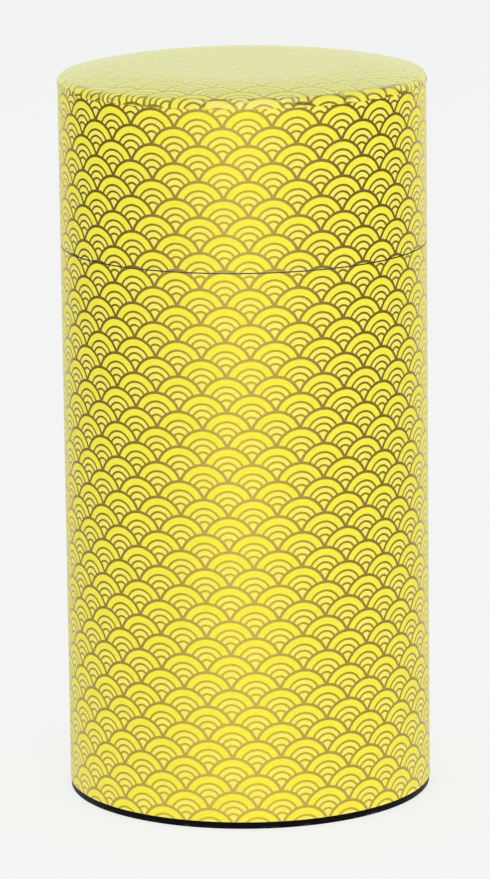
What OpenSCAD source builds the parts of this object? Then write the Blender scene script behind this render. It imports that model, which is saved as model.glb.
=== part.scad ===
// Round tea caddy: a paper-covered tinplate canister with a slip-on cap and a press-in inner lid.
// Origin at the middle of the foot, +Z up, millimetres.

/* [Canister] */
// Outside diameter over the paper
canister_d = 78; // [66:1:96]
// Height from the foot to the middle of the cap's top
total_h = 157; // [130:1:200]
// Height of the cap, from its lower edge to the middle of its top
cap_h = 38; // [34:1:50]
// Gap between the paper on the canister and the paper on the cap
parting_gap = 0.3; // [0.2:0.1:0.6]
// Thickness of the tinplate
tin_t = 0.3; // [0.25:0.05:0.4]
// Thickness of the covering paper
paper_t = 0.2; // [0.15:0.05:0.3]

/* [Cap top] */
// Radius of the flat middle of the cap's top
dome_flat_r = 21; // [10:1:25]
// Radius of the curve from the flat middle out to the corner
dome_curve_r = 72; // [64:1:110]
// Radius of the corner between the top and the side
cap_corner_r = 1.5; // [1.2:0.1:2.5]
// Extra thickness of the top paper where it is pleated over the corner
pleat_t = 0.2; // [0.1:0.05:0.3]
// How far the folded top paper comes down the side below the corner
fold_drop = 0.6; // [0.1:0.1:2]
// Width of the lap where the ends of each side paper meet at the back
lap_w = 6; // [3:0.5:10]

/* [Neck and foot] */
// How far the neck stands above the parting line
neck_rise = 24.5; // [20:0.5:28]
// How far the neck is pressed down inside the canister
neck_seat = 18; // [12:1:30]
// Height of each folded hem of tinplate
hem_h = 3; // [2:0.5:4]
// Clearance between the neck and the cap that slides over it
slide_gap = 0.3; // [0.2:0.05:0.5]
// Height of the foot ring
foot_h = 1.5; // [1:0.1:3]
// Width of the foot ring
foot_w = 1.4; // [1.2:0.1:2]
// How high the bottom panel stands above the table
foot_recess = 2.2; // [1.8:0.1:3]

/* [Inner lid] */
// Depth of the inner lid's pan below its flange
pan_depth = 7.5; // [5:0.5:10]
// Clearance between the pan and the neck
pan_gap = 0.15; // [0.1:0.05:0.3]
// Largest diameter of the knob
knob_d = 15; // [10:0.5:18]
// Height of the knob
knob_h = 11.5; // [9:0.5:12]
// Diameter of the rivet that holds the knob
rivet_d = 3; // [2.5:0.5:4]

/* [Hidden] */
$fn = 128;

// Radii from the outside in
paper_r = canister_d / 2;
fit_gap = 0.02;
tin_r = paper_r - paper_t;
bore_r = tin_r - tin_t;
cap_hem_r = bore_r - tin_t;
neck_r = cap_hem_r - slide_gap;
neck_bore_r = neck_r - tin_t;
neck_hem_r = neck_bore_r - tin_t;
seat_r = bore_r - fit_gap;

// Heights from the foot up
cap_z = total_h - cap_h;
body_top_z = cap_z - parting_gap;
neck_top_z = cap_z + neck_rise;
swage_z = body_top_z - 2.5;
swage_h = 2;

// The corner's centre, from where its circle touches both the dome's curve and the side
corner_x = paper_r - cap_corner_r;
corner_span = dome_curve_r - cap_corner_r;
corner_z = total_h - dome_curve_r + sqrt(pow(corner_span, 2) - pow(corner_x - dome_flat_r, 2));
corner_angle = acos((corner_x - dome_flat_r) / corner_span);
fold_z = corner_z - fold_drop;

// Inner lid
stop_gap = 0.1;
flange_z = neck_top_z + stop_gap;
pan_r = neck_hem_r - pan_gap;
pan_floor_z = flange_z - pan_depth;
pan_corner_r = 1;
panel_step_r = 24;
panel_step_h = 0.6;
knob_floor_z = pan_floor_z + panel_step_h + tin_t;
washer_t = 0.5;
washer_r = 5.5;
knob_z = knob_floor_z + washer_t;
knob_foot_r = 4.6;
knob_waist_r = 3.4;
rivet_r = rivet_d / 2;
rivet_depth = 6;
rivet_head_r = 3.2;
rivet_head_h = 1;

// Foot
foot_r = tin_r + 0.05;
foot_edge_r = 0.35;
upstand_h = 4;
base_panel_z = foot_recess + tin_t;

// Points of an arc from angle a0 to a1 about (x, z)
function arc(x, z, r, a0, a1, n = 8) =
    [for (i = [0 : n]) let (a = a0 + (a1 - a0) * i / n) [x + r * cos(a), z + r * sin(a)]];

// The cap's top from its middle out to the side, moved inwards by d
function dome_line(d) = concat(
    [[0, total_h - d]],
    arc(dome_flat_r, total_h - dome_curve_r, dome_curve_r - d, 90, corner_angle, 10),
    arc(corner_x, corner_z, cap_corner_r - d, corner_angle, 0, 6)
);

function reversed(list) = [for (i = [len(list) - 1 : -1 : 0]) list[i]];

// A straight tube between two heights
module tube(r_out, r_in, z0, z1) {
    difference() {
        translate([0, 0, z0]) cylinder(r = r_out, h = z1 - z0);
        translate([0, 0, z0 - 1]) cylinder(r = r_in, h = z1 - z0 + 2);
    }
}

// A sheet of paper wrapped round a tube, with its ends lapped at the back
module wrapped_paper(z0, z1) {
    lap_angle = lap_w / paper_r * 180 / PI;
    tube(paper_r, tin_r + fit_gap, z0, z1);
    rotate([0, 0, 90 - lap_angle / 2])
        rotate_extrude(angle = lap_angle)
            translate([paper_r - paper_t / 2, z0])
                square([paper_t * 1.5, z1 - z0]);
}

// Straight tinplate tube of the canister
module body_shell() {
    color([0.80, 0.80, 0.82])
        tube(tin_r, bore_r, foot_h, body_top_z);
}

// Sleeve pressed into the canister, drawn in above the parting line, hemmed inwards at the mouth
module neck_collar() {
    color([0.84, 0.84, 0.86])
        rotate_extrude()
            polygon(concat(
                [
                    [seat_r, body_top_z - neck_seat],
                    [seat_r, swage_z],
                    [neck_r, swage_z + swage_h]
                ],
                arc(neck_r - tin_t, neck_top_z - tin_t, tin_t, 0, 180),
                [
                    [neck_hem_r, neck_top_z - hem_h],
                    [neck_bore_r, neck_top_z - hem_h],
                    [neck_bore_r, swage_z + swage_h],
                    [seat_r - tin_t, swage_z],
                    [seat_r - tin_t, body_top_z - neck_seat]
                ]
            ));
}

// Black pressed bottom: foot ring outside, raised panel inside, upstand pressed into the canister
module base_end() {
    color([0.05, 0.05, 0.05])
        rotate_extrude()
            polygon(concat(
                [
                    [0, foot_recess + panel_step_h],
                    [panel_step_r, foot_recess + panel_step_h],
                    [panel_step_r + panel_step_h, foot_recess],
                    [foot_r - foot_w, foot_recess]
                ],
                arc(foot_r - foot_w + foot_edge_r, foot_edge_r, foot_edge_r, 180, 270),
                arc(foot_r - foot_edge_r, foot_edge_r, foot_edge_r, 270, 360),
                [
                    [foot_r, foot_h],
                    [seat_r, foot_h],
                    [seat_r, foot_recess + upstand_h],
                    [seat_r - tin_t, foot_recess + upstand_h],
                    [seat_r - tin_t, base_panel_z],
                    [panel_step_r + panel_step_h, base_panel_z],
                    [panel_step_r, base_panel_z + panel_step_h],
                    [0, base_panel_z + panel_step_h]
                ]
            ));
}

// Paper round the canister
module body_paper() {
    color([0.95, 0.90, 0.30])
        wrapped_paper(foot_h, body_top_z);
}

// Straight tinplate tube of the cap, hemmed inwards at its lower edge
module cap_shell() {
    color([0.80, 0.80, 0.82])
        rotate_extrude()
            polygon(concat(
                arc(tin_r - tin_t, cap_z + tin_t, tin_t, 180, 360),
                [
                    [tin_r, corner_z],
                    [bore_r, corner_z],
                    [bore_r, cap_z + hem_h],
                    [cap_hem_r, cap_z + hem_h]
                ]
            ));
}

// Pressed top of the cap, with a skirt fitted inside the cap's tube
module cap_top() {
    color([0.84, 0.84, 0.86])
        rotate_extrude()
            polygon(concat(
                dome_line(paper_t),
                [
                    [tin_r, corner_z + fit_gap],
                    [seat_r, corner_z + fit_gap],
                    [seat_r, corner_z - hem_h],
                    [seat_r - tin_t, corner_z - hem_h]
                ],
                reversed(dome_line(paper_t + fit_gap + 2 * tin_t))
            ));
}

// Paper round the cap
module cap_side_paper() {
    color([0.95, 0.90, 0.30])
        wrapped_paper(cap_z, fold_z - fit_gap);
}

// Disc of paper on the dome, pleated over the corner and folded down the side
module cap_top_paper() {
    color([0.97, 0.93, 0.45])
        rotate_extrude()
            polygon(concat(
                [[0, total_h]],
                arc(dome_flat_r, total_h - dome_curve_r, dome_curve_r, 90, corner_angle, 10),
                arc(corner_x, corner_z, cap_corner_r + pleat_t, corner_angle * 0.9, 0, 6),
                [
                    [paper_r + pleat_t, fold_z],
                    [tin_r + fit_gap, fold_z]
                ],
                reversed(dome_line(paper_t - fit_gap))
            ));
}

// Pressed pan that closes the neck: flange on the rim, wall inside the mouth, stepped floor
module inner_lid() {
    pan_wall_r = pan_r - tin_t;
    color([0.86, 0.86, 0.88])
        difference() {
            rotate_extrude()
                polygon(concat(
                    [[0, pan_floor_z + panel_step_h]],
                    [[panel_step_r, pan_floor_z + panel_step_h]],
                    [[panel_step_r + panel_step_h, pan_floor_z]],
                    arc(pan_r - pan_corner_r, pan_floor_z + pan_corner_r, pan_corner_r, 270, 360),
                    [
                        [pan_r, flange_z],
                        [neck_r, flange_z],
                        [neck_r, flange_z + tin_t],
                        [pan_wall_r, flange_z + tin_t]
                    ],
                    arc(pan_r - pan_corner_r, pan_floor_z + pan_corner_r, pan_corner_r - tin_t, 360, 270),
                    [
                        [panel_step_r + panel_step_h, pan_floor_z + tin_t],
                        [panel_step_r, knob_floor_z],
                        [0, knob_floor_z]
                    ]
                ));
            translate([0, 0, pan_floor_z - 1])
                cylinder(r = rivet_r + fit_gap, h = 4);
        }
}

// Thin washer between the pan and the knob
module knob_washer() {
    color([0.70, 0.70, 0.72])
        tube(washer_r, rivet_r + fit_gap, knob_floor_z, knob_z);
}

// Turned knob with a waist for two fingers and a rounded head
module lid_knob() {
    head_r = knob_d / 2;
    head_t = 3.6;
    head_z = knob_z + knob_h - head_t;
    color([0.75, 0.75, 0.77])
        difference() {
            rotate_extrude()
                polygon(concat(
                    [
                        [0, knob_z],
                        [knob_foot_r, knob_z],
                        [knob_foot_r, knob_z + 1]
                    ],
                    arc(knob_waist_r + 2.4, knob_z + 3.4, 2.4, 230, 150),
                    arc(head_r - head_t / 2, head_z + head_t / 2, head_t / 2, 270, 400),
                    [[0, knob_z + knob_h]]
                ));
            translate([0, 0, knob_z - 1])
                cylinder(r = rivet_r + fit_gap, h = rivet_depth + 1);
        }
}

// Rivet up through the pan and the washer into the knob
module knob_rivet() {
    dome_r = (pow(rivet_head_r, 2) + pow(rivet_head_h, 2)) / (2 * rivet_head_h);
    head_z = pan_floor_z + panel_step_h;
    half_angle = asin(rivet_head_r / dome_r);
    color([0.72, 0.72, 0.74])
        rotate_extrude()
            polygon(concat(
                arc(0, head_z - rivet_head_h + dome_r, dome_r, 270, 270 + half_angle),
                [
                    [rivet_r, head_z],
                    [rivet_r, knob_z + rivet_depth - 0.2],
                    [0, knob_z + rivet_depth - 0.2]
                ]
            ));
}

body_shell();
neck_collar();
base_end();
body_paper();
cap_shell();
cap_top();
cap_side_paper();
cap_top_paper();
inner_lid();
knob_washer();
lid_knob();
knob_rivet();
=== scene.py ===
"""Looks of a round tea caddy: tinplate canister and cap in wave-pattern paper, inner lid, black foot."""

import math
import random

import bpy
from mathutils import Matrix, Vector


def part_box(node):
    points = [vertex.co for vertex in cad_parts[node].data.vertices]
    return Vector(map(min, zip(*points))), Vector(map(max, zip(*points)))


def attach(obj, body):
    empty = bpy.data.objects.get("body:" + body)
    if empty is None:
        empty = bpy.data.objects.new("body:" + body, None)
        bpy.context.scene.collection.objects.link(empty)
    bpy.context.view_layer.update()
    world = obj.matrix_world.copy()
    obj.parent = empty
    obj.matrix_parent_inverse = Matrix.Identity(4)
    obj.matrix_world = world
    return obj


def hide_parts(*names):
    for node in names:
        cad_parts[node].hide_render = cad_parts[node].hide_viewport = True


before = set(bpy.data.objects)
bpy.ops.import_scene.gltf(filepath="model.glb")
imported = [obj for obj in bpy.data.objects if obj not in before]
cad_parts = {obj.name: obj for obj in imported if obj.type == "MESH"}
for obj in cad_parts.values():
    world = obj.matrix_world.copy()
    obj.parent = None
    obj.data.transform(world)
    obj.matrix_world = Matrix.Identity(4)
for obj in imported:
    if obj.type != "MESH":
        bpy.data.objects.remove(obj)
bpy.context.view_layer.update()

MM = 0.001

# ---------------------------------------------------------------- sizes from the frame, in millimetres


def low(node, axis=2):
    """Lowest coordinate of a CAD node along an axis."""
    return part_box(node)[0][axis] / MM


def high(node, axis=2):
    """Highest coordinate of a CAD node along an axis."""
    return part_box(node)[1][axis] / MM


PAPER_R = high("body_paper", 0)
BAND_R = high("cap_top_paper", 0)
TIN_R = high("body_shell", 0)
SEAT_R = high("neck_collar", 0)
PAN_FLANGE_R = high("inner_lid", 0)
FOOT_R = high("base_end", 0)
HEIGHT = high("cap_top_paper")
BODY_TOP = high("body_paper")
CAP_LOW = low("cap_side_paper")
FOOT_H = low("body_paper")
FOLD_Z = low("cap_top_paper")
NECK_LOW = low("neck_collar")
NECK_TOP = high("neck_collar")
FLANGE_Z = high("inner_lid")
PAN_LOW = low("inner_lid")

TIN_T = 0.3
PAPER_T = 0.18
BORE_R = TIN_R - TIN_T
NECK_R = PAN_FLANGE_R
HEM_H = 3.0
PARTING_Z = (BODY_TOP + CAP_LOW) / 2

# Pressed panel in the bottom and in the inner lid, and the foot ring round the bottom
PANEL_R = 24.0
PANEL_STEP = 0.6
FOOT_WIDTH = 1.4
FOOT_RECESS = 2.2

# The cap's top: flat middle, gentle curve, small corner
FLAT_R = 21.0
CURVE_R = 72.0
CORNER_R = 1.5
CORNER_X = PAPER_R - CORNER_R
CORNER_Z = HEIGHT - CURVE_R + math.sqrt((CURVE_R - CORNER_R) ** 2 - (CORNER_X - FLAT_R) ** 2)
CORNER_A = math.acos((CORNER_X - FLAT_R) / (CURVE_R - CORNER_R))

# Wave pattern: width of a scale, height from row to row, and its circles
WAVE_W = 2 * math.pi * PAPER_R / 24
WAVE_H = 3.7043
SCALE_R = 5.62
EDGE_LINE = 0.62
RING_LINE = 0.46
LINE_SOFT = 0.05
# Inner rings: radius, and how far the centre is below the scale's own
RINGS = ((3.48, 0.07), (2.30, 0.21), (1.48, 0.83))
# An even number that keeps every row's number above zero
EVEN_ROWS = 400.0

# A peak's place on each flat sheet, and how far the rows lean and tilt from millimetre to millimetre
SIDE_PATTERN = {"peak_u": 6.58, "peak_v": 8.47, "lean": 0.0039, "tilt": 0.0050}
TOP_PATTERN = {"peak_u": 2.73, "peak_v": -37.63, "lean": 0.049, "tilt": 0.049}

# Varnish over the gold lines
GOLD_COAT = 0.85

# How far each paper sits from the pattern's own place, across and up
BODY_SLIP = (0.0, 0.16)
CAP_SLIP = (0.08, -0.06)

# Camera: place in millimetres, focal length for a 36 mm sensor, pitch and roll in degrees
CAMERA_AT = Vector((-0.2655, -1113.08, 316.95))
FOCAL = 217.3786
PITCH = 12.241
ROLL = 0.721

# Light of the surround: on dull surfaces, and mirrored from the room and from the wall behind
SOFT_LIGHT = (0.60, 0.69, 0.70, 1)
MIRRORED_ROOM = (0.42, 0.43, 0.44, 1)
MIRRORED_WALL = (1.11, 1.21, 1.12, 1)

# Lamps in front: name, angle from the front, watts, colour
LAMPS = (("lamp_left", -68, 4.0, (0.93, 0.97, 0.88)),
         ("lamp_front", 4, 4.8, (1.0, 0.88, 0.76)),
         ("lamp_right", 72, 4.6, (0.93, 0.97, 0.88)))
LAMP_AWAY = 1.4
LAMP_HEIGHT = 0.34
LAMP_SIZE = (0.8, 0.6)
FLOOR_GLOW = 0.753
FLOOR_HALF = 8.0

# Brightness of the floor as the caddy mirrors it: at the sides, and what is added in front and behind
MIRROR_NEAR, MIRROR_NEAR_FRONT = 0.82, 0.20
MIRROR_FAR, MIRROR_FAR_FRONT, MIRROR_FAR_BACK = 0.05, 0.92, 0.8
# Turn and half width of the bright front in radians, and metres over which near goes to far
MIRROR_TURN = 0.07
MIRROR_WIDTH = 0.76
MIRROR_FADE = 0.30

# ---------------------------------------------------------------- camera and light


def make_camera():
    """A long lens 1.1 m in front, looking 12 degrees down at the caddy's middle."""
    data = bpy.data.cameras.new("camera")
    data.sensor_width = 36.0
    data.lens = FOCAL
    data.clip_start, data.clip_end = 0.05, 20.0
    camera = bpy.data.objects.new("camera", data)
    place = Matrix.Translation(CAMERA_AT * MM)
    tilt = Matrix.Rotation(math.radians(90 - PITCH), 4, "X")
    roll = Matrix.Rotation(math.radians(-ROLL), 4, "Z")
    camera.matrix_world = place @ tilt @ roll
    bpy.context.scene.collection.objects.link(camera)
    bpy.context.scene.camera = camera


def make_light(name, size, place, aim, power, colour):
    """A soft rectangular area light pointed at a place, and not mirrored in anything."""
    data = bpy.data.lights.new(name, "AREA")
    data.shape = "RECTANGLE"
    data.size, data.size_y = size
    data.energy = power
    data.color = colour
    light = bpy.data.objects.new(name, data)
    light.location = place
    light.rotation_mode = "QUATERNION"
    light.rotation_quaternion = (Vector(aim) - Vector(place)).to_track_quat("-Z", "Y")
    light.visible_glossy = False
    bpy.context.scene.collection.objects.link(light)


# ---------------------------------------------------------------- shader helpers


class Graph:
    """Short calls for building nodes in a tree."""

    def __init__(self, tree):
        self.tree = tree

    def node(self, kind, **settings):
        made = self.tree.nodes.new(kind)
        for key, value in settings.items():
            setattr(made, key, value)
        return made

    def feed(self, socket, value):
        if isinstance(value, bpy.types.NodeSocket):
            self.tree.links.new(value, socket)
        else:
            socket.default_value = value

    def math(self, operation, a, b=0.0, c=0.0):
        made = self.node("ShaderNodeMath", operation=operation)
        for socket, value in zip(made.inputs, (a, b, c)):
            self.feed(socket, value)
        return made.outputs[0]

    def step(self, value, low_end, high_end, start=0.0, end=1.0):
        """A smooth step from start to end as value goes from low_end to high_end."""
        made = self.node("ShaderNodeMapRange", interpolation_type="SMOOTHSTEP")
        for key, given in zip(("Value", "From Min", "From Max", "To Min", "To Max"),
                              (value, low_end, high_end, start, end)):
            self.feed(made.inputs[key], given)
        return made.outputs["Result"]

    def mix(self, factor, a, b):
        """Colour a where factor is 0, and b where it is 1."""
        made = self.node("ShaderNodeMix", data_type="RGBA")
        self.feed(made.inputs[0], factor)
        self.feed(made.inputs[6], a)
        self.feed(made.inputs[7], b)
        return made.outputs[2]

    def noise(self, where, scale, detail=3.0, rough=0.5, stretch=None):
        """Noise of 0 to 1 at a place, finer with scale, drawn out by stretch."""
        if stretch is not None:
            mapping = self.node("ShaderNodeMapping")
            self.feed(mapping.inputs["Vector"], where)
            mapping.inputs["Scale"].default_value = stretch
            where = mapping.outputs[0]
        made = self.node("ShaderNodeTexNoise")
        self.feed(made.inputs["Vector"], where)
        made.inputs["Scale"].default_value = scale
        made.inputs["Detail"].default_value = detail
        made.inputs["Roughness"].default_value = rough
        return made.outputs["Fac"]

    def place(self):
        """Place on the object, in metres."""
        return self.node("ShaderNodeTexCoord").outputs["Object"]

    def axes(self, vector):
        """The three parts of a vector."""
        made = self.node("ShaderNodeSeparateXYZ")
        self.feed(made.inputs[0], vector)
        return made.outputs

    def joined(self, *parts):
        """A vector from its parts."""
        made = self.node("ShaderNodeCombineXYZ")
        for socket, part in zip(made.inputs, parts):
            self.feed(socket, part)
        return made.outputs[0]

    def radius(self, x, y):
        """Distance from the axis."""
        return self.math("SQRT", self.math("ADD", self.math("MULTIPLY", x, x), self.math("MULTIPLY", y, y)))

    def glossy(self):
        """1 for light seen in a mirroring surface, and 0 for other light."""
        return self.node("ShaderNodeLightPath").outputs["Is Glossy Ray"]

    def bump(self, height, distance, strength=1.0):
        """A normal tipped by a height, in metres."""
        made = self.node("ShaderNodeBump")
        self.feed(made.inputs["Height"], height)
        made.inputs["Distance"].default_value = distance
        made.inputs["Strength"].default_value = strength
        return made.outputs[0]


class Surface(Graph):
    """A material's nodes round its Principled shader."""

    SOCKETS = {"colour": "Base Color", "metal": "Metallic", "rough": "Roughness", "normal": "Normal",
               "specular": "Specular IOR Level", "coat": "Coat Weight", "coat_rough": "Coat Roughness",
               "glow": "Emission Strength", "glow_colour": "Emission Color"}

    def __init__(self, name):
        self.material = bpy.data.materials.new(name)
        self.material.use_nodes = True
        super().__init__(self.material.node_tree)
        self.shader = self.tree.nodes["Principled BSDF"]

    def set(self, **values):
        """Feed the shader's sockets and return the material."""
        for key, value in values.items():
            self.feed(self.shader.inputs[self.SOCKETS[key]], value)
        return self.material


def rgb(r, g, b):
    """A colour given as a screen shows it, 0 to 255, as the linear value that a shader takes."""
    def linear(value):
        value /= 255
        return value / 12.92 if value <= 0.04045 else ((value + 0.055) / 1.055) ** 2.4
    return (linear(r), linear(g), linear(b), 1.0)


# ---------------------------------------------------------------- wave paper


def wave_lines(g, u, v, peak_u, peak_v):
    """Masks from places u across and v up in millimetres: gold lines, their outer rims, wide outer band."""
    rows_down = g.math("DIVIDE", g.math("SUBTRACT", peak_v, v), WAVE_H)
    row = g.math("FLOOR", rows_down)
    depth = g.math("MULTIPLY", g.math("SUBTRACT", rows_down, row), WAVE_H)
    odd = g.math("MULTIPLY", g.math("MODULO", g.math("ADD", row, EVEN_ROWS), 2.0), WAVE_W / 2)
    across = g.math("ADD", g.math("SUBTRACT", u, peak_u), odd)

    def scale(shift, drop):
        """Lines of the scale that is shift across and drop above the nearest row."""
        x = g.math("WRAP", g.math("ADD", across, shift), WAVE_W / 2, -WAVE_W / 2)
        xx = g.math("MULTIPLY", x, x)

        def away(centre):
            y = g.math("SUBTRACT", centre - drop, depth)
            return g.math("SQRT", g.math("MULTIPLY_ADD", y, y, xx))

        edge = away(SCALE_R)
        rim = g.step(edge, SCALE_R - EDGE_LINE - LINE_SOFT, SCALE_R - EDGE_LINE + LINE_SOFT)
        line = rim
        for radius, lower in RINGS:
            off = g.math("ABSOLUTE", g.math("SUBTRACT", away(SCALE_R + lower), radius))
            ring = g.step(off, RING_LINE / 2 - LINE_SOFT, RING_LINE / 2 + LINE_SOFT, 1.0, 0.0)
            line = g.math("MAXIMUM", line, ring)
        band = g.step(edge, RINGS[0][0] - 0.1, RINGS[0][0] + 0.1)
        return edge, line, rim, band

    near_edge, *near = scale(0.0, 0.0)
    _, *far = scale(WAVE_W / 2, WAVE_H)
    behind = g.math("GREATER_THAN", near_edge, SCALE_R)

    def choose(front, back):
        return g.math("ADD", g.math("MULTIPLY", front, g.math("SUBTRACT", 1.0, behind)),
                      g.math("MULTIPLY", back, behind))

    return [choose(front, back) for front, back in zip(near, far)]


def wave_material(name, peak_u, peak_v, lean, tilt, coat, crease=False):
    """Yellow paper printed with gold wave lines. UV holds the flat sheet's place in millimetres.

    With crease, the gold is duller, pale lines on the corner are partly rubbed print and partly painted
    highlight, and dark lines at the pleats' folds are painted shadow, where the mesh says so."""
    g = Surface(name)
    sheet = g.node("ShaderNodeUVMap", uv_map="sheet").outputs[0]
    u_flat, v_flat, _ = g.axes(sheet)
    u = g.math("MULTIPLY_ADD", v_flat, lean, u_flat)
    v = g.math("MULTIPLY_ADD", u_flat, -tilt, v_flat)
    wobble = g.math("MULTIPLY", g.math("SUBTRACT", g.noise(sheet, 0.9, 2.0), 0.5), 0.10)
    lines, rim, band = wave_lines(g, g.math("ADD", u, wobble), g.math("ADD", v, wobble), peak_u, peak_v)

    fibre = g.noise(sheet, 1.0, 4.0, 0.6, (0.55, 2.6, 1.0))
    mottle = g.noise(sheet, 0.16, 3.0)
    grain = g.noise(sheet, 9.0, 2.0, 0.7)
    pale = g.mix(g.step(fibre, 0.3, 0.75), rgb(242, 225, 83), rgb(247, 232, 109))
    deep = g.mix(g.step(fibre, 0.3, 0.75), rgb(241, 224, 38), rgb(245, 230, 63))
    yellow = g.mix(band, pale, deep)
    yellow = g.mix(g.step(mottle, 0.35, 0.7, 0.0, 0.22), yellow, rgb(238, 222, 30))
    gold = g.mix(g.step(grain, 0.35, 0.65), rgb(210, 184, 8), rgb(233, 206, 34))
    gold = g.mix(g.step(mottle, 0.3, 0.7, 0.0, 0.35), gold, rgb(230, 202, 62))
    gold = g.mix(g.math("MULTIPLY", rim, 0.8), gold, rgb(214, 184, 88))
    shine = 1.0
    if crease:
        gold = g.mix(g.step(grain, 0.35, 0.65), rgb(160, 142, 10), rgb(180, 160, 32))
        shine = 0.62
    colour = g.mix(lines, yellow, gold)
    metal = g.math("MULTIPLY", lines, shine)
    varnish = g.math("MULTIPLY_ADD", lines, GOLD_COAT - coat, coat)
    rough = g.math("ADD", g.step(grain, 0.2, 0.8, 0.40, 0.52), g.math("MULTIPLY", lines, -0.12))
    if crease:
        # Pale lines on the corner: partly rubbed print, partly a painted highlight that is strongest across
        # the front
        attribute = g.node("ShaderNodeAttribute", attribute_name="crease").outputs["Fac"]
        patchy = g.noise(sheet, 0.35, 3.0, 0.65)
        worn_and_highlit = g.math("MULTIPLY", attribute, g.step(patchy, 0.34, 0.62, 0.30, 0.85))
        colour = g.mix(worn_and_highlit, colour, rgb(251, 230, 160))
        # Dark painted shadow along the pleats' folds and the crushed creases
        fold = g.node("ShaderNodeAttribute", attribute_name="fold").outputs["Fac"]
        painted_fold_shade = g.math("MULTIPLY", fold, g.step(g.noise(sheet, 0.8, 3.0, 0.65), 0.3, 0.6, 0.45, 0.9))
        colour = g.mix(painted_fold_shade, colour, rgb(92, 84, 58))
        metal = g.math("MULTIPLY", metal, g.math("SUBTRACT", 1.0, worn_and_highlit))
    relief = g.math("ADD", g.math("MULTIPLY", lines, 0.35), g.math("MULTIPLY", fibre, 0.5))
    relief = g.math("ADD", relief, g.math("MULTIPLY", grain, 0.15))
    return g.set(colour=colour, metal=metal, rough=rough, specular=0.5, coat=varnish, coat_rough=0.28,
                 normal=g.bump(relief, 0.04 * MM, 0.6))


def paper_edge_material():
    """Cut edge and back of the paper: pale fibres."""
    g = Surface("paper_edge")
    where = g.place()
    fibre = g.noise(where, 2600.0, 4.0, 0.7)
    colour = g.mix(fibre, rgb(212, 192, 104), rgb(232, 216, 150))
    return g.set(colour=colour, rough=0.8, normal=g.bump(fibre, 0.05 * MM))


# ---------------------------------------------------------------- metals


def tin_material(name, radial=False, parting_shade_at=None):
    """Bright tinplate: fine rolling lines round the wall, faint crystal pattern, small scuffs.

    A thin dark line of painted shade, standing for the gap between can and cap, runs round it at a given
    height, where one is given."""
    g = Surface(name)
    where = g.place()
    x, y, z = g.axes(where)
    if radial:
        out = g.math("MULTIPLY", g.radius(x, y), 45.0)
        turned = g.math("MULTIPLY", g.math("ARCTAN2", y, x), 0.02)
        lines = g.noise(g.joined(out, turned), 60.0, 3.0, 0.7)
    else:
        lines = g.noise(where, 1.0, 3.0, 0.7, (60.0, 60.0, 2600.0))
    crystals = g.node("ShaderNodeTexVoronoi", feature="F1")
    g.feed(crystals.inputs["Vector"], where)
    crystals.inputs["Scale"].default_value = 260.0
    flake = g.node("ShaderNodeRGBToBW")
    g.feed(flake.inputs[0], crystals.outputs["Color"])
    cloud = g.noise(where, 90.0, 4.0)
    scuff = g.step(g.noise(where, 700.0, 5.0, 0.75, (1.0, 1.0, 0.25)), 0.62, 0.72)
    tone = g.mix(g.step(cloud, 0.3, 0.7), rgb(224, 223, 219), rgb(240, 240, 238))
    tone = g.mix(g.math("MULTIPLY", flake.outputs[0], 0.22), tone, rgb(202, 203, 206))
    rough = g.math("ADD", g.step(lines, 0.3, 0.7, 0.17, 0.30), g.math("MULTIPLY", scuff, 0.12))
    relief = g.math("ADD", lines, g.math("MULTIPLY", scuff, 0.6))
    # Painted shade: a dark line where the gap between can and cap falls
    if parting_shade_at is not None:
        off = g.math("ABSOLUTE", g.math("SUBTRACT", z, parting_shade_at * MM))
        dust_and_shade = g.step(off, 0.22 * MM, 0.45 * MM, 0.96, 0.0)
        tone = g.mix(dust_and_shade, tone, rgb(20, 17, 10))
        rough = g.math("MAXIMUM", rough, g.math("MULTIPLY", dust_and_shade, 0.8))
    return g.set(colour=tone, metal=1.0, rough=rough, normal=g.bump(relief, 0.012 * MM, 0.5))


def enamel_material():
    """Black enamel of the foot: soft gloss, fine orange peel, rubbed a little grey along the rim."""
    g = Surface("foot_enamel")
    where = g.place()
    _, _, z = g.axes(where)
    peel = g.noise(where, 900.0, 3.0)
    dust_and_shade = g.step(g.noise(where, 2400.0, 4.0, 0.7), 0.55, 0.8)
    rim = g.step(z, 0.1 * MM, 0.6 * MM, 1.0, 0.0)
    rubbed = g.math("MULTIPLY", rim, g.step(g.noise(where, 320.0, 4.0, 0.7), 0.5, 0.65))
    colour = g.mix(g.math("MULTIPLY", dust_and_shade, 0.12), rgb(5, 4, 6), rgb(60, 57, 54))
    colour = g.mix(g.math("MULTIPLY", rubbed, 0.7), colour, rgb(84, 80, 76))
    rough = g.math("ADD", g.step(peel, 0.3, 0.7, 0.34, 0.46), g.math("MULTIPLY", rubbed, 0.2))
    return g.set(colour=colour, rough=rough, specular=0.08, normal=g.bump(peel, 0.03 * MM, 0.4))


def turned_material(name, dark, light, smooth):
    """Turned metal: fine tool rings that follow the radius and height."""
    g = Surface(name)
    where = g.place()
    x, y, z = g.axes(where)
    rings = g.noise(g.joined(g.radius(x, y), 0.0, z), 4200.0, 2.0, 0.6)
    handled = g.noise(where, 380.0, 4.0, 0.6)
    colour = g.mix(handled, dark, light)
    rough = g.step(g.math("ADD", rings, g.math("MULTIPLY", handled, 0.6)), 0.5, 1.1, smooth, smooth + 0.14)
    return g.set(colour=colour, metal=1.0, rough=rough, normal=g.bump(rings, 0.015 * MM, 0.5))


# ---------------------------------------------------------------- meshes


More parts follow.
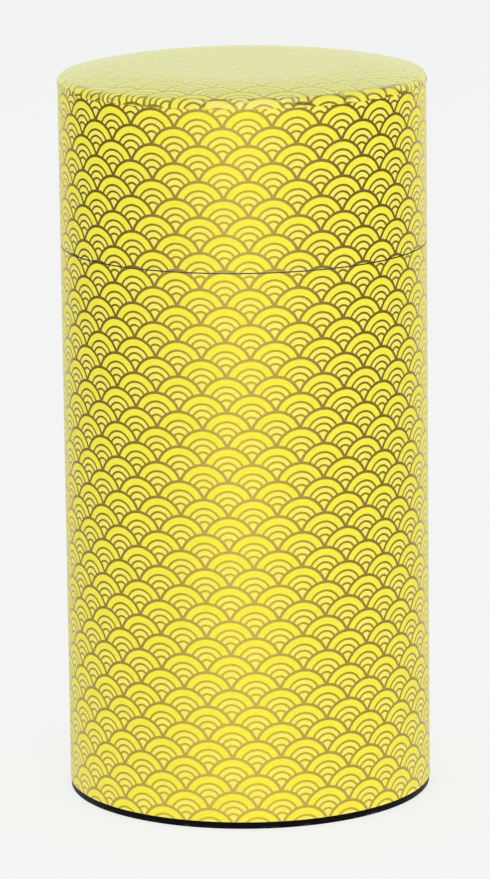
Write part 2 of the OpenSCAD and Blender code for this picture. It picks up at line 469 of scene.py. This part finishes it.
def new_piece(name, points, faces, materials):
    """A smooth-shaded mesh object from points in millimetres."""
    mesh = bpy.data.meshes.new(name)
    mesh.from_pydata([(x * MM, y * MM, z * MM) for x, y, z in points], [], faces)
    for material in materials:
        mesh.materials.append(material)
    mesh.polygons.foreach_set("use_smooth", [True] * len(mesh.polygons))
    mesh.update()
    piece = bpy.data.objects.new(name, mesh)
    bpy.context.scene.collection.objects.link(piece)
    return piece


def mark_sharp(piece, degrees):
    """Keep edges that turn by more than this many degrees crisp."""
    piece.data.set_sharp_from_angle(angle=math.radians(degrees))


def arc(x, z, r, start, end, n=8):
    """Points of an arc about (x, z), angles in degrees."""
    turn = [math.radians(start + (end - start) * i / n) for i in range(n + 1)]
    return [(x + r * math.cos(a), z + r * math.sin(a)) for a in turn]


def lathe(name, profile, material, body, node, around=192, lining=None, lined_from=0):
    """A closed solid turned about the axis from (radius, height) points, standing for a CAD node.

    Its faces from profile point lined_from onwards take the lining material, where one is given."""
    points, faces, kinds, starts = [], [], [], []
    for r, z in profile:
        if r < 1e-6:
            starts.append((len(points), 1))
            points.append((0.0, 0.0, z))
            continue
        starts.append((len(points), around))
        for i in range(around):
            a = 2 * math.pi * i / around
            points.append((r * math.cos(a), r * math.sin(a), z))
    for k in range(len(profile)):
        (p, p_count), (q, q_count) = starts[k], starts[(k + 1) % len(profile)]
        if p_count == 1 and q_count == 1:
            continue
        for i in range(around):
            j = (i + 1) % around
            if p_count == 1:
                faces.append((p, q + j, q + i))
            elif q_count == 1:
                faces.append((p + i, p + j, q))
            else:
                faces.append((p + i, p + j, q + j, q + i))
            kinds.append(int(lining is not None and k >= lined_from))
    piece = new_piece(name, points, faces, [material] + [lining] * (lining is not None))
    piece.data.polygons.foreach_set("material_index", kinds)
    mark_sharp(piece, 40)
    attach(piece, body)
    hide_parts(node)


def wrapped_sheet(name, z0, z1, material, edge, body, node, slip):
    """Paper wrapped round a tube, its far end lapped over its near end at the back."""
    around, lap, inner = 360, 6.0, TIN_R + 0.02
    start = math.pi / 2 + lap / 2 / PAPER_R
    total = 2 * math.pi + lap / PAPER_R
    columns = around + 12
    rows = max(6, int((z1 - z0) / 2.0))
    points, uvs = [], []
    for side in (1, 0):
        for i in range(columns + 1):
            turn = start - total * i / columns
            past = (start - 2 * math.pi - turn) * PAPER_R
            lift = (PAPER_T + 0.01) * min(1.0, max(0.0, (past + 0.6) / 0.6))
            r = inner + lift + (PAPER_T - 0.005 if side else 0.0)
            for j in range(rows + 1):
                z = z0 + (z1 - z0) * j / rows
                points.append((r * math.cos(turn), r * math.sin(turn), z))
                flat = -(turn + math.pi / 2)
                uvs.append((-flat * PAPER_R - slip[0], z + slip[1]))
    width = rows + 1
    side_count = (columns + 1) * width
    faces, kinds = [], []
    for i in range(columns):
        for j in range(rows):
            a, b = i * width + j, (i + 1) * width + j
            faces.append((a + 1, b + 1, b, a))
            kinds.append(0)
            faces.append((side_count + a, side_count + b, side_count + b + 1, side_count + a + 1))
            kinds.append(1)
        for j in (0, rows):
            a, b = i * width + j, (i + 1) * width + j
            quad = (a, b, side_count + b, side_count + a)
            faces.append(quad if j == 0 else quad[::-1])
            kinds.append(1)
    for i in (0, columns):
        for j in range(rows):
            a = i * width + j
            quad = (a + 1, a, side_count + a, side_count + a + 1)
            faces.append(quad if i == 0 else quad[::-1])
            kinds.append(1)
    piece = new_piece(name, points, faces, [material, edge])
    finish_paper(piece, uvs, kinds)
    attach(piece, body)
    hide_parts(node)


def finish_paper(piece, uvs, kinds):
    """Give a paper its flat-sheet places and its edge material, and keep its cut edges crisp."""
    mesh = piece.data
    layer = mesh.uv_layers.new(name="sheet")
    flat = [value for loop in mesh.loops for value in uvs[loop.vertex_index]]
    layer.data.foreach_set("uv", flat)
    mesh.polygons.foreach_set("material_index", kinds)
    mark_sharp(piece, 50)


# ---------------------------------------------------------------- top paper


# Steps of the top paper's mesh over the flat, the dome, the corner and the fold, and round it
FLAT_STEPS = 8
DOME_STEPS = 16
CORNER_STEPS = 14
FOLD_STEPS = 5
TOP_AROUND = 900
# Number of the ring at the corner's start, and a power that brings the dome's rings closer towards it
CORNER_START = FLAT_STEPS + DOME_STEPS - 1
DOME_CLOSING = 1.6


def dome_rings():
    """Places along the top paper from its middle to its folded edge: (arc length, radius, height, normal)."""
    rings = []
    for i in range(1, FLAT_STEPS + 1):
        r = FLAT_R * i / FLAT_STEPS
        rings.append((r, r, HEIGHT, (0.0, 1.0)))
    spread = math.pi / 2 - CORNER_A
    for i in range(1, DOME_STEPS + 1):
        a = math.pi / 2 - spread * (1.0 - (1.0 - i / DOME_STEPS) ** DOME_CLOSING)
        length = FLAT_R + CURVE_R * (math.pi / 2 - a)
        rings.append((length, FLAT_R + CURVE_R * math.cos(a), HEIGHT - CURVE_R + CURVE_R * math.sin(a),
                      (math.cos(a), math.sin(a))))
    at_corner = rings[-1][0]
    for i in range(1, CORNER_STEPS + 1):
        a = CORNER_A * (1 - i / CORNER_STEPS)
        length = at_corner + CORNER_R * (CORNER_A - a)
        rings.append((length, CORNER_X + CORNER_R * math.cos(a), CORNER_Z + CORNER_R * math.sin(a),
                      (math.cos(a), math.sin(a))))
    length = rings[-1][0]
    for i in range(1, FOLD_STEPS + 1):
        drop = (CORNER_Z - FOLD_Z) * i / FOLD_STEPS
        rings.append((length + drop, PAPER_R, CORNER_Z - drop, (1.0, 0.0)))
    return rings


# A pleat's fold, in millimetres: how wide its rise is, and place and half width of the painted shadow line at
# its fold
FOLD_RISE = 0.35
FOLD_LINE_AT = -0.2
FOLD_LINE = 0.28
# How far a pleat shifts the print, in millimetres, and over how many of its widths
PRINT_SHIFT = 1.1
SHIFT_WIDTHS = 2.5


def pleat_list():
    """Angle from the front, width in millimetres, height and reach of each pleat round the corner."""
    rand = random.Random(7)
    pleats = [(-63.0, 3.4, 1.0, 1.7), (16.0, 4.2, 0.9, 1.6), (33.0, 4.0, 0.9, 2.2), (50.0, 4.6, 1.0, 2.6)]
    angle = 62.0
    while angle < 290.0:
        if not -70 < angle - 360 < -56:
            pleats.append((angle, rand.uniform(2.4, 4.6), rand.uniform(0.5, 1.0), rand.uniform(1.0, 2.2)))
        angle += rand.uniform(10.0, 17.0)
    return pleats + [(-48.0, 3.0, 0.45, 1.0), (-30.0, 3.6, 0.4, 1.0), (-11.0, 3.4, 0.35, 0.9)]


def pleat_lift(pleats, angle, length, fold_start):
    """How far the paper stands out, 0 to 1, how far its print is shifted, and how dark the painted shadow at
    a pleat's fold is.
    """
    lift, shift, fold = 0.0, 0.0, 0.0
    for middle, width, height, reach in pleats:
        off = (angle - middle + 180.0) % 360.0 - 180.0
        along = math.radians(off) * PAPER_R
        ramp = min(1.0, max(0.0, (length - fold_start + reach) / (reach + 1.2)))
        span = width * (0.25 + 0.75 * ramp)
        if -FOLD_RISE < along < span:
            rise = (along + FOLD_RISE) / FOLD_RISE if along < 0 else 1.0 - along / span
            lift = max(lift, height * ramp * rise ** 0.8)
        if -1.0 < along < 1.0:
            fold = max(fold, height * ramp * math.exp(-(((along - FOLD_LINE_AT) / FOLD_LINE) ** 2)))
        if 0 <= along < SHIFT_WIDTHS * width:
            shift += height * ramp * PRINT_SHIFT * (1.0 - along / (SHIFT_WIDTHS * width))
    return lift, shift, fold


# Pale lines on the corner, partly rubbed print and partly painted highlight: half widths on the crease and on
# the cut edge, in millimetres
CREASE_PALE_HALF = 0.36
CUT_PALE_HALF = 0.20


def crease_wear_and_highlight(angle, past_crease, from_end):
    """How pale the print on the corner is, partly rubbed print and partly painted highlight: most across the
    front, a little elsewhere.

    It goes by the angle, the distance past the crease and the distance from the cut edge."""
    bend = math.exp(-((past_crease / CREASE_PALE_HALF) ** 2))
    cut = 0.7 * math.exp(-((from_end / CUT_PALE_HALF) ** 2))
    front = max(0.0, 1.0 - abs((angle - 5.0) / 19.0) ** 4)
    middle = max(0.0, 1.0 - abs((angle - 0.5) / 13.0) ** 4)
    turned_down = 0.42 * middle if past_crease > 0 else 0.0
    return max(max(bend, cut) * (0.22 + 0.78 * front), turned_down)


# Distance from the corner's start to the crease, and how far before that start the pleats can begin
CREASE_AT = 1.15
PLEATS_BEFORE = 3.0

# Painted shadows of crushed creases: first and last angle from the front, height above the cut edge at each,
# how dark
CREASE_SHADOWS = ((15.5, 22.0, 0.9, 0.5, 0.90), (31.0, 35.5, 1.5, 0.9, 0.80), (48.0, 59.5, 3.0, 2.0, 1.00),
           (-64.5, -59.5, 2.0, 2.9, 0.80), (-55.5, -50.5, 0.9, 1.0, 0.60), (-45.5, -41.5, 0.9, 0.8, 0.60))


def crease_shadow(angle, from_end):
    """How dark the painted shadow of a crushed crease is at an angle and a distance up from the cut edge in
    millimetres.
    """
    dark = 0.0
    for start, end, high_end, low_end, depth in CREASE_SHADOWS:
        if start < angle < end:
            along = (angle - start) / (end - start)
            path = high_end + (low_end - high_end) * along + 0.15 * math.sin(along * 9.0)
            faded = depth * math.sin(math.pi * along) ** 0.4
            dark = max(dark, faded * math.exp(-(((from_end - path) / 0.30) ** 2)))
    return dark


def top_paper(material, edge):
    """Disc of paper over the dome, pleated over the corner and folded down the side."""
    around = TOP_AROUND
    rings = dome_rings()
    pleats = pleat_list()
    fold_start = rings[CORNER_START][0]
    cut_edge = rings[-1][0]
    band_gain = BAND_R - PAPER_R
    points, uvs, creases, folds = [(0.0, 0.0, HEIGHT)], [(0.0, 0.0)], [0.0], [0.0]
    top_count = 1 + len(rings) * around
    for length, r, z, normal in rings:
        over = min(1.0, max(0.0, (length - fold_start) / 1.6))
        near = length > fold_start - PLEATS_BEFORE
        for i in range(around):
            angle = -180.0 + 360.0 * i / around
            lift, shift, fold = pleat_lift(pleats, angle, length, fold_start) if near else (0.0, 0.0, 0.0)
            out = band_gain * (0.35 * over + 0.62 * lift * min(1.0, over + 0.25))
            a = math.radians(angle)
            rr, zz = r + normal[0] * out, z + normal[1] * out * 0.8
            points.append((rr * math.sin(a), -rr * math.cos(a), min(zz, HEIGHT)))
            turn = a + shift / PAPER_R
            uvs.append((length * math.sin(turn), -length * math.cos(turn)))
            creases.append(crease_wear_and_highlight(angle, length - fold_start - CREASE_AT, cut_edge - length))
            folds.append(max(fold, crease_shadow(angle, cut_edge - length)))
    points.append((0.0, 0.0, HEIGHT - PAPER_T))
    for length, r, z, normal in rings:
        for i in range(around):
            a = math.radians(-180.0 + 360.0 * i / around)
            rr, zz = r - normal[0] * PAPER_T, z - normal[1] * PAPER_T
            points.append((rr * math.sin(a), -rr * math.cos(a), zz))
    uvs += [(0.0, 0.0)] * (len(points) - len(uvs))
    creases += [0.0] * (len(points) - len(creases))
    folds += [0.0] * (len(points) - len(folds))
    faces, kinds = [], []
    for base, flip in ((0, False), (top_count, True)):
        for i in range(around):
            j = (i + 1) % around
            face = (base, base + 1 + i, base + 1 + j)
            faces.append(face[::-1] if flip else face)
            kinds.append(int(flip))
            for k in range(len(rings) - 1):
                p, q = base + 1 + k * around, base + 1 + (k + 1) * around
                face = (p + i, q + i, q + j, p + j)
                faces.append(face[::-1] if flip else face)
                kinds.append(int(flip))
    last = 1 + (len(rings) - 1) * around
    for i in range(around):
        j = (i + 1) % around
        faces.append((last + j, last + i, top_count + last + i, top_count + last + j))
        kinds.append(1)
    piece = new_piece("top_paper", points, faces, [material, edge])
    for name, values in (("crease", creases), ("fold", folds)):
        attribute = piece.data.attributes.new(name, "FLOAT", "POINT")
        attribute.data.foreach_set("value", values)
    finish_paper(piece, uvs, kinds)
    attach(piece, "cap")
    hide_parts("cap_top_paper")


# ---------------------------------------------------------------- tin profiles


def dome_line(d):
    """The cap's top from its middle to its side, moved inwards by d."""
    curve = arc(FLAT_R, HEIGHT - CURVE_R, CURVE_R - d, 90, math.degrees(CORNER_A), 14)
    corner = arc(CORNER_X, CORNER_Z, CORNER_R - d, math.degrees(CORNER_A), 0, 8)
    flat = [(FLAT_R * i / 4, HEIGHT - d) for i in range(4)]
    return flat + curve + corner[1:]


def make_tin(tin, pressed, enamel):
    """The tinplate pieces, each turned from its own profile."""
    lathe("body_tube", [(TIN_R, FOOT_H), (TIN_R, BODY_TOP), (BORE_R, BODY_TOP), (BORE_R, FOOT_H)],
          tin, "can", "body_shell")

    swage = BODY_TOP - 2.5
    neck = [(SEAT_R, NECK_LOW), (SEAT_R, swage)]
    neck += [(SEAT_R + (NECK_R - SEAT_R) * (1 - math.cos(math.pi * i / 6)) / 2, swage + 2 * i / 6)
             for i in range(1, 7)]
    neck += [(NECK_R, CAP_LOW + 8.0)]
    neck += [(NECK_R - 0.18 * math.sin(math.pi * i / 8), CAP_LOW + 8.0 + 2.0 * i / 8) for i in range(1, 9)]
    neck += arc(NECK_R - TIN_T, NECK_TOP - TIN_T, TIN_T, 0, 180, 10)
    neck += [(NECK_R - 2 * TIN_T, NECK_TOP - HEM_H), (NECK_R - TIN_T - 0.02, NECK_TOP - HEM_H - 0.1),
             (NECK_R - TIN_T - 0.2, swage + 2), (SEAT_R - TIN_T, swage), (SEAT_R - TIN_T, NECK_LOW)]
    lathe("neck", neck, tin, "can", "neck_collar")

    lathe("cap_tube", arc(TIN_R - TIN_T, CAP_LOW + TIN_T, TIN_T, 180, 360, 10)
          + [(TIN_R, CORNER_Z), (BORE_R, CORNER_Z), (BORE_R, CAP_LOW + HEM_H + 0.1),
             (BORE_R - TIN_T, CAP_LOW + HEM_H)],
          tin, "cap", "cap_shell")

    skirt_low = CORNER_Z - HEM_H
    skirt = [(SEAT_R, CORNER_Z + 0.02), (SEAT_R, skirt_low), (SEAT_R - TIN_T, skirt_low)]
    lathe("cap_dome", dome_line(0.2) + skirt + dome_line(0.5 + TIN_T)[::-1],
          pressed, "cap", "cap_top")

    ring_in, edge_r = FOOT_R - FOOT_WIDTH, 0.12
    panel = FOOT_RECESS + PANEL_STEP
    bottom = [(0, panel), (PANEL_R - 1, panel)]
    bottom += arc(PANEL_R, panel - 0.3, 0.3, 90, 0, 4)
    bottom += [(PANEL_R + 0.6, FOOT_RECESS), (ring_in - 0.3, FOOT_RECESS)]
    bottom += arc(ring_in + edge_r, edge_r, edge_r, 180, 270, 6)
    bottom += arc(FOOT_R - edge_r, edge_r, edge_r, 270, 360, 6)
    bottom += arc(FOOT_R - 0.25, FOOT_H - 0.25, 0.25, 0, 90, 4)
    inside = len(bottom)
    bottom += [(SEAT_R, FOOT_H), (SEAT_R, FOOT_RECESS + 4), (SEAT_R - TIN_T, FOOT_RECESS + 4)]
    bottom += [(SEAT_R - TIN_T, FOOT_RECESS + TIN_T), (PANEL_R + 0.6, FOOT_RECESS + TIN_T)]
    bottom += [(PANEL_R, panel + TIN_T), (0, panel + TIN_T)]
    lathe("foot", bottom, enamel, "can", "base_end", lining=pressed, lined_from=inside)


def make_inner_lid(pressed, knob_metal, rivet_metal):
    """The pan, its knob, and the washer and rivet between them."""
    wall = NECK_R - 2 * TIN_T - 0.15
    inner, floor, corner = wall - TIN_T, PAN_LOW, 1.0
    panel = floor + PANEL_STEP
    knob_floor = panel + TIN_T
    knob_z, knob_top = low("lid_knob"), high("lid_knob")
    knob_r = high("lid_knob", 0)
    rivet_r, hole = 1.5, 1.52
    pan = [(hole, panel), (PANEL_R - 0.4, panel), (PANEL_R, panel - 0.1), (PANEL_R + PANEL_STEP, floor)]
    pan += arc(wall - corner, floor + corner, corner, 270, 360, 8)
    pan += [(wall, FLANGE_Z - TIN_T)]
    pan += arc(NECK_R - 0.12, FLANGE_Z - TIN_T / 2, TIN_T / 2, 270, 450, 6)
    pan += arc(inner + 0.25, FLANGE_Z - 0.25, 0.25, 90, 180, 4)
    pan += arc(wall - corner, floor + corner, corner - TIN_T, 360, 270, 8)
    pan += [(PANEL_R + PANEL_STEP + 0.1, floor + TIN_T), (PANEL_R, knob_floor - 0.05)]
    pan += [(PANEL_R - 0.5, knob_floor)]
    for middle in (21.0, 14.0):
        pan += [(middle + 0.7 - 0.2 * i, knob_floor + 0.12 * math.sin(math.pi * i / 7)) for i in range(8)]
    pan += [(hole, knob_floor)]
    lathe("pan", pan, pressed, "inner_lid_assembly", "inner_lid")

    washer_r = 5.5
    lathe("washer", [(hole, knob_floor), (washer_r - 0.1, knob_floor), (washer_r, knob_floor + 0.1),
                     (washer_r, knob_z - 0.1), (washer_r - 0.1, knob_z), (hole, knob_z)],
          rivet_metal, "inner_lid_assembly", "knob_washer", 96)

    head_t, waist, foot_r = 3.6, 3.4, 4.6
    head = knob_top - head_t
    knob = [(hole, knob_z), (foot_r - 0.1, knob_z)]
    knob += arc(foot_r - 0.15, knob_z + 0.15, 0.15, 270, 360, 3) + [(foot_r, knob_z + 0.9)]
    knob += arc(waist + 2.4, knob_z + 3.4, 2.4, 230, 150, 12)
    knob += arc(knob_r - head_t / 2, head + head_t / 2, head_t / 2, 270, 405, 16)
    knob += [(foot_r, knob_top - 0.12), (3.6, knob_top - 0.02), (0, knob_top)]
    knob += [(0, knob_z + 6), (hole, knob_z + 6)]
    lathe("knob", knob, knob_metal, "inner_lid_assembly", "lid_knob", 144)

    head_r, head_h = 3.2, 1.0
    ball = (head_r ** 2 + head_h ** 2) / (2 * head_h)
    sweep = math.degrees(math.asin(head_r / ball))
    rivet = arc(0, panel - head_h + ball, ball, 270, 270 + sweep, 8)
    rivet[0] = (0, rivet[0][1])
    rivet += [(rivet_r, panel), (rivet_r, knob_z + 5.8), (0, knob_z + 5.8)]
    lathe("rivet", rivet, rivet_metal, "inner_lid_assembly", "knob_rivet", 72)


# ---------------------------------------------------------------- stage


def floor_material():
    """A pale table top that glows a little, as an overlit one does.

    The caddy mirrors it dimmer at the sides, which turns the gold from dark at the sides to pale in front."""
    g = Surface("floor")
    x, y, _ = g.axes(g.place())
    from_front = g.math("ARCTAN2", x, g.math("MULTIPLY", y, -1.0))
    round_about = g.math("ABSOLUTE", g.math("ADD", from_front, MIRROR_TURN))
    spread = g.math("POWER", g.math("DIVIDE", round_about, MIRROR_WIDTH), 2.0)
    ahead = g.math("EXPONENT", g.math("MULTIPLY", spread, -1.0))
    far = g.math("MULTIPLY_ADD", ahead, MIRROR_FAR_FRONT, MIRROR_FAR)
    far = g.math("ADD", far, g.step(round_about, 2.0, 2.7, 0.0, MIRROR_FAR_BACK))
    near = g.math("MULTIPLY_ADD", ahead, MIRROR_NEAR_FRONT, MIRROR_NEAR)
    leaving = g.math("EXPONENT", g.math("DIVIDE", g.radius(x, y), -MIRROR_FADE))
    mirrored = g.math("ADD", far, g.math("MULTIPLY", leaving, g.math("SUBTRACT", near, far)))
    dimmed = g.math("MULTIPLY", g.glossy(), g.math("SUBTRACT", mirrored, 1.0))
    level = g.math("ADD", 1.0, dimmed)
    grey = g.math("MULTIPLY", level, 0.20)
    glow = g.math("MULTIPLY", level, FLOOR_GLOW)
    return g.set(colour=g.joined(grey, grey, grey), rough=0.9, specular=0.0,
                 glow=glow, glow_colour=(1.0, 0.99, 0.99, 1.0))


def make_surround():
    """Cool dim light from all round, and for mirrored light a bright wall behind and a dim room."""
    world = bpy.data.worlds.new("surround")
    world.use_nodes = True
    g = Graph(world.node_tree)
    _, back, _ = g.axes(g.node("ShaderNodeTexCoord").outputs["Generated"])
    mirrored = g.mix(g.step(back, 0.35, 0.85), MIRRORED_ROOM, MIRRORED_WALL)
    g.feed(g.tree.nodes["Background"].inputs[0], g.mix(g.glossy(), SOFT_LIGHT, mirrored))
    bpy.context.scene.world = world


def make_stage():
    """A plain pale floor, three broad soft lamps in front, one above, and the surround."""
    corners = [(x * FLOOR_HALF, y * FLOOR_HALF, 0) for x, y in ((-1, -1), (1, -1), (1, 1), (-1, 1))]
    mesh = bpy.data.meshes.new("floor")
    mesh.from_pydata(corners, [], [(0, 1, 2, 3)])
    mesh.materials.append(floor_material())
    floor = bpy.data.objects.new("floor", mesh)
    bpy.context.scene.collection.objects.link(floor)
    make_surround()
    for name, degrees, power, tint in LAMPS:
        a = math.radians(degrees)
        place = (LAMP_AWAY * math.sin(a), -LAMP_AWAY * math.cos(a), LAMP_HEIGHT)
        make_light(name, LAMP_SIZE, place, (0, 0, 0.08), power, tint)
    make_light("lamp_above", size=(1.2, 1.2), place=(0, 0.1, 1.6), aim=(0, 0, 0.1), power=2.2,
               colour=(0.94, 1.0, 0.94))


bpy.context.scene.view_settings.view_transform = "Standard"
make_camera()
make_stage()

edge = paper_edge_material()
side_waves = wave_material("wave_paper", **SIDE_PATTERN, coat=0.12)
top_waves = wave_material("top_paper", **TOP_PATTERN, coat=0.45, crease=True)
tin = tin_material("tin_wall")
# The pressed tin carries a line of painted shade at the parting between can and cap
pressed = tin_material("tin_pressed", radial=True, parting_shade_at=PARTING_Z)
enamel = enamel_material()
knob_metal = turned_material("knob_metal", rgb(206, 204, 200), rgb(224, 223, 220), 0.10)
rivet_metal = turned_material("rivet_metal", rgb(186, 187, 190), rgb(205, 206, 208), 0.24)

wrapped_sheet("body_wave_paper", FOOT_H, BODY_TOP, side_waves, edge, "can", "body_paper", BODY_SLIP)
wrapped_sheet("cap_wave_paper", CAP_LOW, high("cap_side_paper"), side_waves, edge, "cap", "cap_side_paper",
              CAP_SLIP)
top_paper(top_waves, edge)
make_tin(tin, pressed, enamel)
make_inner_lid(pressed, knob_metal, rivet_metal)
